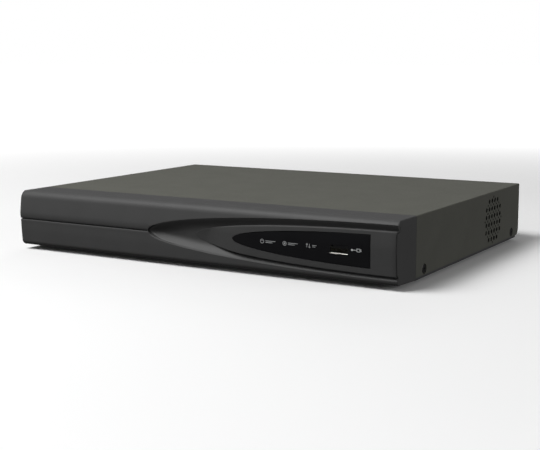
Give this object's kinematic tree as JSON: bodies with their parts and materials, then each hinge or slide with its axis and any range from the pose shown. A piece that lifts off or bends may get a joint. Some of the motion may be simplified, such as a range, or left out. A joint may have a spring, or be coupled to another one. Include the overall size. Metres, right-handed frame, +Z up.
{
  "type": "digital video recorder",
  "caption": "One-unit-high desktop video recorder: sheet-metal case, plastic front bezel with an eye-shaped display recess, side fan vent, rear sockets and an internal hard drive.",
  "frame": {"origin": "on the surface that the feet stand on, in the middle of the overall width and depth", "axes": "+X to the right seen from the front, -Y out of the front face, +Z up"},
  "size_m": [0.315, 0.245, 0.045],
  "materials": {
    "cover_paint": "fine-textured matt powder coat, greenish dark grey",
    "chassis_paint": "fine-textured matt powder coat, dark grey",
    "bezel_plastic": "fine-grained moulded ABS, satin",
    "insert_plastic": "satin moulded ABS",
    "window_gloss": "polished smoked acrylic",
    "clear_plastic": "clear acrylic",
    "foot_rubber": "matt",
    "black_screw": "black oxide, semi-gloss",
    "circuit_board": "solder resist, semi-gloss",
    "standoff_brass": "turned",
    "bright_steel": "bright zinc or nickel plated",
    "chip_plastic": "moulded epoxy",
    "black_aluminium": "black anodised",
    "capacitor_sleeve": "shrink sleeve",
    "black_plastic": "moulded, satin",
    "nickel_plate": "satin nickel plate",
    "white_plastic": "moulded nylon",
    "gold_contact": "gold flash",
    "blue_plastic": "moulded",
    "lamp_plastic": "clear tinted",
    "green_plastic": "moulded nylon",
    "rocker_plastic": "moulded, semi-gloss",
    "fan_plastic": "moulded",
    "cast_aluminium": "die cast, satin",
    "drive_lid_metal": "satin",
    "platter_mirror": "polished",
    "arm_aluminium": "machined",
    "cable_jacket": "extruded PVC",
    "ribbon_plastic": "laminated flat cable"
  },
  "bodies": {
    "case": {"top_cover": "cover_paint", "base_chassis": "chassis_paint", "front_bezel": "bezel_plastic", "display_insert": "insert_plastic", "indicator_window": "window_gloss", "light_guide": "clear_plastic", "rubber_feet": "foot_rubber", "cover_side_screws": "black_screw", "cover_rear_screws": "black_screw", "main_board": "circuit_board", "board_standoffs": "standoff_brass", "board_screws": "bright_steel", "processor": "chip_plastic", "heat_sink": "black_aluminium", "small_chips": "chip_plastic", "capacitors": "capacitor_sleeve", "inductors": "chip_plastic", "buzzer": "black_plastic", "cell_holder": "black_plastic", "coin_cell": "bright_steel", "network_transformer": "chip_plastic", "video_jack_blocks": "black_plastic", "video_jack_barrels": "nickel_plate", "video_jack_insulators": "white_plastic", "video_jack_contacts": "gold_contact", "audio_jack_block": "black_plastic", "audio_jack_shells": "nickel_plate", "audio_jack_inserts": "white_plastic", "hdmi_shell": "nickel_plate", "hdmi_tongue": "black_plastic", "vga_shell": "nickel_plate", "vga_insert": "blue_plastic", "vga_jackscrews": "nickel_plate", "lan_socket": "nickel_plate", "lan_contacts": "gold_contact", "lan_lights": "lamp_plastic", "rear_usb_shell": "nickel_plate", "rear_usb_tongue": "white_plastic", "terminal_header": "black_plastic", "dc_jack": "black_plastic", "dc_jack_pin": "nickel_plate", "power_switch_body": "black_plastic", "ground_screw": "bright_steel", "fan_frame": "black_plastic", "fan_screws": "black_screw", "drive_casting": "cast_aluminium", "drive_lid": "drive_lid_metal", "drive_board": "circuit_board", "drive_motor": "bright_steel", "drive_screws": "bright_steel", "sata_cables": "cable_jacket", "front_board": "circuit_board", "front_usb_shell": "nickel_plate", "front_usb_tongue": "black_plastic", "front_ribbon": "ribbon_plastic"},
    "fan_rotor": {"fan_rotor": "fan_plastic"},
    "platters": {"drive_platters": "platter_mirror"},
    "arm": {"drive_arm": "arm_aluminium"},
    "rocker": {"power_rocker": "rocker_plastic"},
    "plug": {"terminal_plug": "green_plastic"}
  },
  "joints": [
    {"name": "fan_spin", "type": "hinge", "parent": "case", "child": "fan_rotor", "pos_m": [0.1505, 0.0522, 0.0235], "axis": [1, 0, 0], "continuous": true},
    {"name": "platter_spin", "type": "hinge", "parent": "case", "child": "platters", "pos_m": [-0.0992, -0.032, 0.02], "axis": [0, 0, 1], "continuous": true},
    {"name": "arm_swing", "type": "hinge", "parent": "case", "child": "arm", "pos_m": [-0.08, 0.032, 0.02], "axis": [0, 0, 1], "range_deg": [0, 32]},
    {"name": "rocker_tip", "type": "hinge", "parent": "case", "child": "rocker", "pos_m": [-0.116, 0.109, 0.022], "axis": [0, 0, -1], "range_deg": [0, 22.6]},
    {"name": "plug_slide", "type": "slide", "parent": "case", "child": "plug", "axis": [0, 1, 0], "range_m": [0, 0.0082]}
  ]
}
